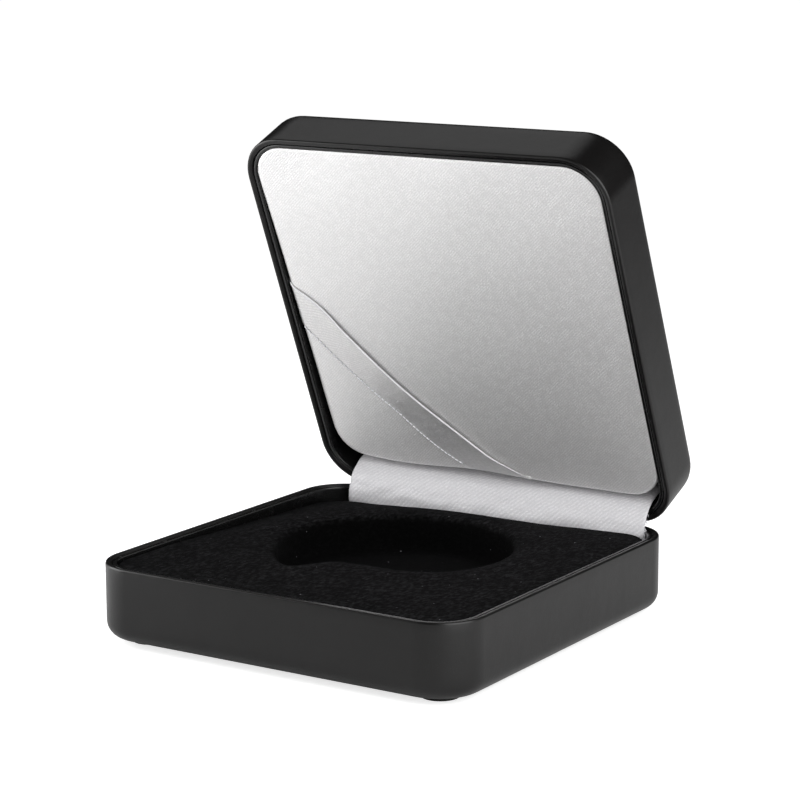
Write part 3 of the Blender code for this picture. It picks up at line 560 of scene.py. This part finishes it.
def satinLidPad():
    p = satinPad
    angles = [2 * math.pi * (k + 0.5) / p["points"] for k in range(p["points"])]
    rings = []
    for inset in (0, 0.05, 0.15, 0.3, 0.5, 0.75, 1.1, 1.6, 2.2, 2.9, 3.7, 4.6, 5.6):
        reaches = [outlineReach(a, (0, 0), p["width"], p["depth"], p["radius"], inset) for a in angles]
        points = [(r * math.cos(a), r * math.sin(a)) for r, a in zip(reaches, angles)]
        if not rings:
            rings.append([(x, y, p["back"]) for x, y in points])
            rings.append([(x, y, (p["back"] + padFace(x, y)) / 2) for x, y in points])
        rings.append([(x, y, padFace(x, y)) for x, y in points])
    for share in (0.97, 0.93, 0.87, 0.8, 0.72, 0.63, 0.53, 0.42, 0.3, 0.18, 0.08):
        rings.append([(x * share, y * share, padFace(x * share, y * share)) for x, y in points])
    bm = bmesh.new()
    addRings(bm, rings)
    for vert in bm.verts:
        x, y = vert.co.x / mm, vert.co.y / mm
        if vert.co.z < 5 * mm:
            vert.co.z += noise.noise(vert.co / (16 * mm)) * p["sag"] * mm
        vert.co.y -= drawnIn(x, y) * mm
    addWeave(bm, lambda co: (co.x, co.y))
    place = lidPlace @ Matrix.Translation((0, p["centreY"] * mm, case["rimGap"] / 2 * mm))
    piece = finish(bm, "lidPadSatin", padSatin, "lid", place, ["lid_satin", "lid_foam"], 80,
                   merge=False)


satinLidPad()
print("satin pad made")

# The sash: a satin ribbon across the pad's corner, rolled over at its upper edge, stitched along the lower.
# Its far and near edges run through these points, in mm from the pad's middle
sash = {"far": [(-42.7, -6.5), (-35.4, -1.2), (-29.8, 5.6), (-24, 12.1), (-17.9, 18.5), (-11.3, 24.3),
                (-4.6, 30), (2.2, 35.6), (10.1, 40)],
        "near": [(-42.3, 4), (-38.4, 8.3), (-34.5, 12.9), (-30.5, 17.1), (-26.4, 21.1), (-22.2, 25),
                 (-18.2, 29.1), (-14.2, 33), (-9.9, 36.6), (-5.6, 40)],
        "lift": 0.15, "stand": 0.8, "ripple": 0.1, "thickness": 0.12, "along": 96, "across": 14, "tail": 0.03,
        "tailDepth": 1.4, "hem": 0.22, "stitchGap": 1.4, "stitch": 1, "turnUnder": 1.2}


def smoothLine(points, share):
    # a point on a smooth curve through the given ones
    run = min(max(share, 0), 1) * (len(points) - 1)
    k = min(int(run), len(points) - 2)
    t = run - k
    a, b, c, d = (Vector(points[min(max(k + n, 0), len(points) - 1)]) for n in (-1, 0, 1, 2))
    bend = (a * 2 - b * 5 + c * 4 - d) * t * t
    return ((b * 2) + (c - a) * t + bend + (b * 3 - a - c * 3 + d) * t ** 3) / 2


def sashPoint(u, v, lift):
    # u runs from the pad's left side to its hinge side, v from the far edge to the near one; mm
    along = (u - sash["tail"]) / (1 - 2 * sash["tail"])
    at = smoothLine(sash["far"], along).lerp(smoothLine(sash["near"], along), v)
    z = padFace(at.x, at.y, lift) + max(-along, along - 1, 0) / sash["tail"] * sash["tailDepth"]
    return Vector((at.x, at.y - drawnIn(at.x, at.y), z))


def sashFace(u, v):
    # the far edge stands off the pad in the middle and towards the hinge, the near one lies on it
    middle = math.sin(math.pi * min(max(u, 0), 1))
    stand = sash["stand"] * middle ** 0.7 * (1 - v) ** 1.3 * (0.35 + 0.65 * u)
    ripple = noise.noise(Vector((u * 9, v * 2, 0))) * sash["ripple"] * middle
    return sashPoint(u, v, sash["lift"]) - Vector((0, 0, stand + ripple))


def addCord(bm, points, radii, sides=8):
    # a round strand of thread or rolled cloth along points in mm
    rings = []
    for k, (point, radius) in enumerate(zip(points, radii)):
        way = (points[min(k + 1, len(points) - 1)] - points[max(k - 1, 0)]).normalized()
        side = way.cross(Vector((0, 0, 1))).normalized()
        up = side.cross(way)
        turns = [2 * math.pi * n / sides for n in range(sides)]
        rings.append([point + radius * (side * math.cos(t) + up * math.sin(t)) for t in turns])
    addRings(bm, rings)


def satinSash():
    s = sash
    place = lidPlace @ Matrix.Translation((0, satinPad["centreY"] * mm, case["rimGap"] / 2 * mm))
    far = [sashFace(k / 40, 0) for k in range(41)]
    length = sum((b - a).length for a, b in zip(far, far[1:]))
    width = (sashFace(0.5, 0) - sashFace(0.5, 1)).length
    bm = bmesh.new()
    bmesh.ops.create_grid(bm, x_segments=s["along"], y_segments=s["across"], size=0.5)
    addWeave(bm, lambda co: (co.x * length * mm, co.y * width * mm))
    for vert in bm.verts:
        vert.co = sashFace(vert.co.x + 0.5, 0.5 - vert.co.y) * mm
    area = sum(face.calc_area() for face in bm.faces)
    ribbon = finish(bm, "sashRibbon", sashSatin, "lid", place, ["lid_sash"], 80, merge=False)
    addModifier(ribbon, "SOLIDIFY", thickness=s["thickness"] * mm, offset=0)
    # the far edge is rolled over
    bm = bmesh.new()
    steps = [0.035 + 0.92 * k / 80 for k in range(81)]
    radii = [s["hem"] * min(1, 0.2 + 9 * min(u - 0.03, 0.96 - u)) * (1.15 - 0.7 * u * u) for u in steps]
    addCord(bm, [sashFace(u, 0.02) - Vector((0, 0, 0.12)) for u in steps], radii, 12)
    rolled = finish(bm, "sashRolledEdge", selvedge, "lid", place, (), 80, merge=False)
    # and the near one is stitched down
    bm = bmesh.new()
    for k in range(int(length * 0.86 / s["stitchGap"])):
        u = 0.07 + (k + 0.5) * s["stitchGap"] / length
        ends = [u + s["stitch"] / length * (n / 4 - 0.5) for n in range(5)]
        points = [sashFace(e, 0.97) - Vector((0, 0, 0.1 + 0.12 * math.sin(math.pi * n / 4)))
                  for n, e in enumerate(ends)]
        addCord(bm, points, [0.1, 0.15, 0.16, 0.15, 0.1], 6)
    stitches = finish(bm, "sashStitches", thread, "lid", place, (), 80, merge=False)


satinSash()
print("sash made")

# The strip that covers the hinge: satin glued behind the coin pad and behind the lid's pad
strip = {"left": -37.3, "right": 39.3, "along": 90, "across": 44, "baseBend": 4, "baseEnd": 12,
         "lidBend": 3.2, "lidEnd": 8, "slack": 4, "bulge": 1, "baseY": -3.8, "lidY": -4.9, "fold": 0.5,
         "crumple": 0.26, "thickness": 0.15, "frays": 46}


def stripLine():
    # points of the strip's section from the hinge, y back and z up, in mm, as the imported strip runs
    s = strip
    turn = Matrix.Rotation(openAngle, 2)
    onLid = lambda z: turn @ Vector((s["lidY"], z))
    start, end = Vector((s["baseY"], -s["baseBend"])), onLid(s["lidBend"])
    handles = Vector((s["baseY"] - s["bulge"], s["slack"] - s["baseBend"])), onLid(s["lidBend"] - s["slack"])
    line = [Vector((s["baseY"], -s["baseEnd"] + (s["baseEnd"] - s["baseBend"]) * k / 8)) for k in range(8)]
    for k in range(25):
        t = k / 24
        line.append(start * (1 - t) ** 3 + handles[0] * 3 * t * (1 - t) ** 2
                    + handles[1] * 3 * t * t * (1 - t) + end * t ** 3)
    line += [onLid(s["lidBend"] + (s["lidEnd"] - s["lidBend"]) * k / 5) for k in range(1, 6)]
    return line


def hingeStrip():
    s = strip
    line = stripLine()
    lengths = [0]
    for one, other in zip(line, line[1:]):
        lengths.append(lengths[-1] + (other - one).length)
    total = lengths[-1]
    bm = bmesh.new()
    bmesh.ops.create_grid(bm, x_segments=s["along"], y_segments=s["across"], size=0.5)
    width = s["right"] - s["left"]
    addWeave(bm, lambda co: (co.x * width * mm, co.y * total * mm))
    for vert in bm.verts:
        x = s["left"] + (vert.co.x + 0.5) * width
        run = (vert.co.y + 0.5) * total
        k = max(i for i in range(len(lengths) - 1) if lengths[i] <= run + 1e-9)
        part = (run - lengths[k]) / (lengths[k + 1] - lengths[k])
        point = line[k].lerp(line[k + 1], min(part, 1))
        way = (line[k + 1] - line[k]).normalized()
        free = max(0, math.sin(math.pi * min(max((run - 7) / (total - 12), 0), 1)))
        crease = noise.noise(Vector((x / 13, run / 4, 3))) * s["fold"]
        crease += noise.noise(Vector((x / 4, run / 2, 8))) * s["crumple"]
        point = point + Vector((-way.y, way.x)) * crease * free
        vert.co = Vector((x, point.x, point.y)) * mm
    place = Matrix.Translation(hinge)
    piece = finish(bm, "hingeStripSatin", shadedStripSatin, None, place, ["hinge_cover"], 80,
                   merge=False)
    addModifier(piece, "SOLIDIFY", thickness=s["thickness"] * mm, offset=0)
    # loose weft ends along its cut right side, most of them near the coin pad
    bm = bmesh.new()
    chance = random.Random(7)
    for _ in range(s["frays"]):
        run = chance.triangular(7.5, total - 8, 9)
        k = max(i for i in range(len(lengths) - 1) if lengths[i] <= run)
        part = (run - lengths[k]) / (lengths[k + 1] - lengths[k])
        root = Vector((s["right"] - 0.25, *line[k].lerp(line[k + 1], part)))
        reach, fall, lean = chance.uniform(0.3, 1.1), chance.uniform(-0.1, 0.7), chance.uniform(-0.35, 0.1)
        points = [root + Vector((0.3 + reach * t, lean * t, -fall * t * t))
                  for t in (-0.3, 0, 0.3, 0.6, 0.85, 1)]
        addCord(bm, points, [0.06, 0.06, 0.055, 0.05, 0.04, 0.02], 5)
    frayed = finish(bm, "hingeStripFrayedEnds", thread, None, place, (), 80, merge=False)
    for part in (piece, frayed):
        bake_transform(part)


hingeStrip()
print("hinge strip made")

# Feet: moulded rubber discs, their lower edge rounded off
feet = {"radius": 4, "edge": 0.12, "names": ["front_left", "front_right", "rear_left", "rear_right"]}
for corner in feet["names"]:
    low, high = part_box("foot_" + corner)
    radius = feet["radius"] * mm
    bm = bmesh.new()
    bmesh.ops.create_cone(bm, cap_ends=True, segments=48, radius1=radius, radius2=radius,
                          depth=case["footHeight"] * mm)
    lowerEdge = [e for e in bm.edges if all(v.co.z < 0 for v in e.verts)]
    bmesh.ops.bevel(bm, geom=lowerEdge, offset=feet["edge"] * mm, segments=4, profile=0.5, affect="EDGES",
                    material=-1)
    middle = (low + high) / 2
    place = Matrix.Translation((middle.x, middle.y, case["footHeight"] / 2 * mm))
    finish(bm, "foot" + corner.title().replace("_", ""), rubber, "base", place, ["foot_" + corner])


def smoothCopy(node, name, mat, body):
    bm = bmesh.new()
    bm.from_mesh(frame["nodes"][node].data)
    finish(bm, name, mat, body, None, [node], 30)


smoothCopy("base_leaf", "hingeLeafBase", zincPlate, "base")
smoothCopy("lid_leaf", "hingeLeafLid", zincPlate, "lid")
smoothCopy("hinge_pin", "hingePin", zincPlate, "base")
nodeFinishes = {"shell": trayEnamel, "riser": greyBoard, "board": greyBoard, "spring": springSteel,
                "rivet": brass}
for name, node in frame["nodes"].items():
    for word, mat in nodeFinishes.items():
        if word in name:
            node.data.materials.clear()
            node.data.materials.append(mat)
print("feet, hinge and inner pieces finished")

# Floor and background: white to the camera, and a soft shadow. Reflections see the lit floor, the
# softboxes and a dim room above it, as black leatherette does in a studio
studio = {"floor": 6, "floorLift": 0.72, "floorColour": "#e2e2e2", "world": 0.39, "room": 0.02}


def makeFloor():
    bm = bmesh.new()
    bmesh.ops.create_grid(bm, x_segments=1, y_segments=1, size=studio["floor"] / 2)
    mesh = bpy.data.meshes.new("studioFloor")
    bm.to_mesh(mesh)
    bm.free()
    floor = bpy.data.objects.new("studioFloor", mesh)
    bpy.context.scene.collection.objects.link(floor)
    mat, tree, shader = newMaterial("paperBackdrop")
    path = addNode(tree, "ShaderNodeLightPath")
    seen = addNode(tree, "ShaderNodeMath", {}, {0: path.outputs["Is Camera Ray"],
                                                1: path.outputs["Is Transmission Ray"]}, operation="MAXIMUM")
    lift = addNode(tree, "ShaderNodeMath", {1: studio["floorLift"]}, {0: seen.outputs[0]},
                   operation="MULTIPLY")
    glow = addNode(tree, "ShaderNodeEmission", {"Color": (1, 1, 1, 1)}, {"Strength": lift.outputs[0]})
    matt = addNode(tree, "ShaderNodeBsdfDiffuse", {"Color": linear(studio["floorColour"])})
    both = addNode(tree, "ShaderNodeAddShader", {}, {0: glow.outputs[0], 1: matt.outputs[0]})
    tree.nodes.remove(shader)
    tree.links.new(both.outputs[0], tree.nodes["Material Output"].inputs["Surface"])
    mesh.materials.append(mat)


def makeWorld():
    world = bpy.data.worlds.new("studioWorld")
    bpy.context.scene.world = world
    world.use_nodes = True
    tree = world.node_tree
    background = tree.nodes["Background"]
    background.inputs["Color"].default_value = (1, 1, 1, 1)
    path = addNode(tree, "ShaderNodeLightPath")
    soft = addNode(tree, "ShaderNodeMapRange", {3: studio["world"], 4: studio["room"]},
                   {0: path.outputs["Is Glossy Ray"]})
    seen = addNode(tree, "ShaderNodeMath", {}, {0: path.outputs["Is Camera Ray"],
                                                1: path.outputs["Is Transmission Ray"]}, operation="MAXIMUM")
    strength = addNode(tree, "ShaderNodeMapRange", {4: 1.0}, {0: seen.outputs[0], 3: soft.outputs[0]})
    tree.links.new(strength.outputs[0], background.inputs["Strength"])


def addSoftbox(name, place, target, size, power):
    lamp = bpy.data.lights.new(name, "AREA")
    lamp.size = size
    lamp.energy = power
    item = bpy.data.objects.new(name, lamp)
    bpy.context.scene.collection.objects.link(item)
    item.location = place
    item.rotation_euler = (Vector(target) - Vector(place)).to_track_quat("-Z", "Y").to_euler()
    item.visible_camera = False


makeFloor()
makeWorld()
addSoftbox("softboxKey", (-0.3, -0.34, 0.26), (0, 0, 0.06), 0.5, 0.3)
addSoftbox("softboxTop", (-0.3, 0.28, 0.62), (0, 0, 0.05), 0.46, 0.39)
addSoftbox("softboxRight", (0.3, -0.06, 0.14), (0.1, 0.08, 0), 0.36, 1.35)
addSoftbox("softboxLeft", (-0.24, -0.11, 0.09), (-0.07, 0, 0.02), 0.2, 0.5)
print("studio made")

# The camera stands where the photograph was taken from; angles in degrees, lengths in mm
view = {"azimuth": 32.998, "elevation": 11.404, "roll": -0.24, "distance": 552.128, "lens": 119.518,
        "target": (3.401, -5.84, 48.965)}


def makeCamera():
    camera = bpy.data.cameras.new("photoCamera")
    camera.sensor_width = 36
    camera.lens = view["lens"]
    camera.clip_start = 0.01
    item = bpy.data.objects.new("photoCamera", camera)
    bpy.context.scene.collection.objects.link(item)
    a, e, r = (math.radians(view[key]) for key in ("azimuth", "elevation", "roll"))
    back = Vector((math.sin(a) * math.cos(e), -math.cos(a) * math.cos(e), math.sin(e)))
    right = Vector((math.cos(a), math.sin(a), 0))
    up = back.cross(right)
    right, up = math.cos(r) * right + math.sin(r) * up, math.cos(r) * up - math.sin(r) * right
    turn = Matrix((right, up, back)).transposed().to_4x4()
    item.matrix_world = Matrix.Translation(Vector(view["target"]) * mm + back * view["distance"] * mm) @ turn
    bpy.context.scene.camera = item


makeCamera()
bpy.context.scene.view_settings.view_transform = "Standard"
bpy.context.view_layer.update()
print("scene made")
